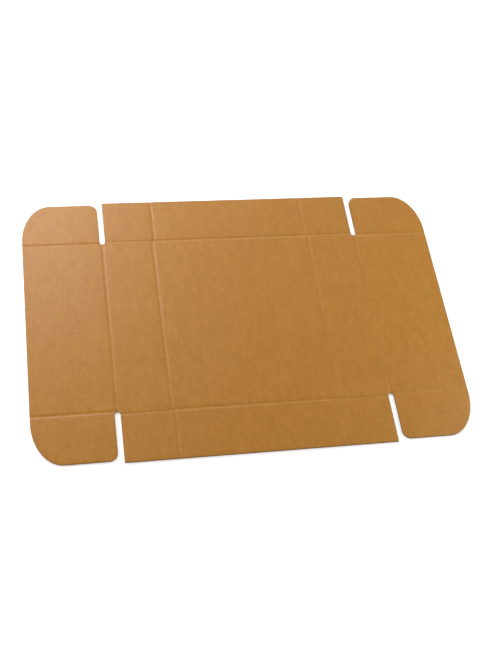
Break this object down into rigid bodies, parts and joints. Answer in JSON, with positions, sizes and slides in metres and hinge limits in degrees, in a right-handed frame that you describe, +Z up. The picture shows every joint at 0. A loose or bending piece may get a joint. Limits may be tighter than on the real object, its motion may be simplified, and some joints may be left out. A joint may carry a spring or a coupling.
{
  "type": "mailer box",
  "caption": "Flat die-cut corrugated blank of a mailing box, creased so that walls, lids, end flaps, corner tabs and dust flaps fold up and close it.",
  "frame": {"origin": "middle of the underside, on the surface that the sheet lies on", "axes": "X runs from the left lid to the right lid, Y from the front end flap to the back one, Z up, out of the side that faces inwards when folded"},
  "size_m": [0.6476, 0.443, 0.003],
  "materials": {
    "board": "plain brown kraft liner, matt, with faint flute lines"
  },
  "bodies": {
    "base": {"base_panel": "board"},
    "left_wall": {"left_wall": "board"},
    "right_wall": {"right_wall": "board"},
    "left_lid": {"left_lid": "board"},
    "right_lid": {"right_lid": "board"},
    "front_end_flap": {"front_end_flap": "board"},
    "back_end_flap": {"back_end_flap": "board"},
    "front_left_tab": {"front_left_tab": "board"},
    "front_right_tab": {"front_right_tab": "board"},
    "back_left_tab": {"back_left_tab": "board"},
    "back_right_tab": {"back_right_tab": "board"},
    "front_left_dust_flap": {"front_left_dust_flap": "board"},
    "front_right_dust_flap": {"front_right_dust_flap": "board"},
    "back_left_dust_flap": {"back_left_dust_flap": "board"},
    "back_right_dust_flap": {"back_right_dust_flap": "board"}
  },
  "joints": [
    {"name": "left_wall_fold", "type": "hinge", "parent": "base", "child": "left_wall", "pos_m": [-0.125, 0, 0.003], "axis": [0, 1, 0], "range_deg": [0, 90]},
    {"name": "right_wall_fold", "type": "hinge", "parent": "base", "child": "right_wall", "pos_m": [0.125, 0, 0.003], "axis": [0, -1, 0], "range_deg": [0, 90]},
    {"name": "left_lid_fold", "type": "hinge", "parent": "left_wall", "child": "left_lid", "pos_m": [-0.2028, 0, 0.003], "axis": [0, 1, 0], "range_deg": [0, 90]},
    {"name": "right_lid_fold", "type": "hinge", "parent": "right_wall", "child": "right_lid", "pos_m": [0.2028, 0, 0.003], "axis": [0, -1, 0], "range_deg": [0, 90]},
    {"name": "front_end_fold", "type": "hinge", "parent": "base", "child": "front_end_flap", "pos_m": [0, -0.1473, 0.003], "axis": [-1, 0, 0], "range_deg": [0, 90]},
    {"name": "back_end_fold", "type": "hinge", "parent": "base", "child": "back_end_flap", "pos_m": [0, 0.1473, 0.003], "axis": [1, 0, 0], "range_deg": [0, 90]},
    {"name": "front_left_tab_fold", "type": "hinge", "parent": "front_end_flap", "child": "front_left_tab", "pos_m": [-0.1216, -0.1844, 0.003], "axis": [0, 1, 0], "range_deg": [0, 90]},
    {"name": "front_right_tab_fold", "type": "hinge", "parent": "front_end_flap", "child": "front_right_tab", "pos_m": [0.1216, -0.1844, 0.003], "axis": [0, -1, 0], "range_deg": [0, 90]},
    {"name": "back_left_tab_fold", "type": "hinge", "parent": "back_end_flap", "child": "back_left_tab", "pos_m": [-0.1216, 0.1844, 0.003], "axis": [0, 1, 0], "range_deg": [0, 90]},
    {"name": "back_right_tab_fold", "type": "hinge", "parent": "back_end_flap", "child": "back_right_tab", "pos_m": [0.1216, 0.1844, 0.003], "axis": [0, -1, 0], "range_deg": [0, 90]},
    {"name": "front_left_dust_fold", "type": "hinge", "parent": "left_lid", "child": "front_left_dust_flap", "pos_m": [-0.2633, -0.1439, 0.003], "axis": [-1, 0, 0], "range_deg": [0, 90]},
    {"name": "front_right_dust_fold", "type": "hinge", "parent": "right_lid", "child": "front_right_dust_flap", "pos_m": [0.2633, -0.1439, 0.003], "axis": [-1, 0, 0], "range_deg": [0, 90]},
    {"name": "back_left_dust_fold", "type": "hinge", "parent": "left_lid", "child": "back_left_dust_flap", "pos_m": [-0.2633, 0.1439, 0.003], "axis": [1, 0, 0], "range_deg": [0, 90]},
    {"name": "back_right_dust_fold", "type": "hinge", "parent": "right_lid", "child": "back_right_dust_flap", "pos_m": [0.2633, 0.1439, 0.003], "axis": [1, 0, 0], "range_deg": [0, 90]}
  ]
}
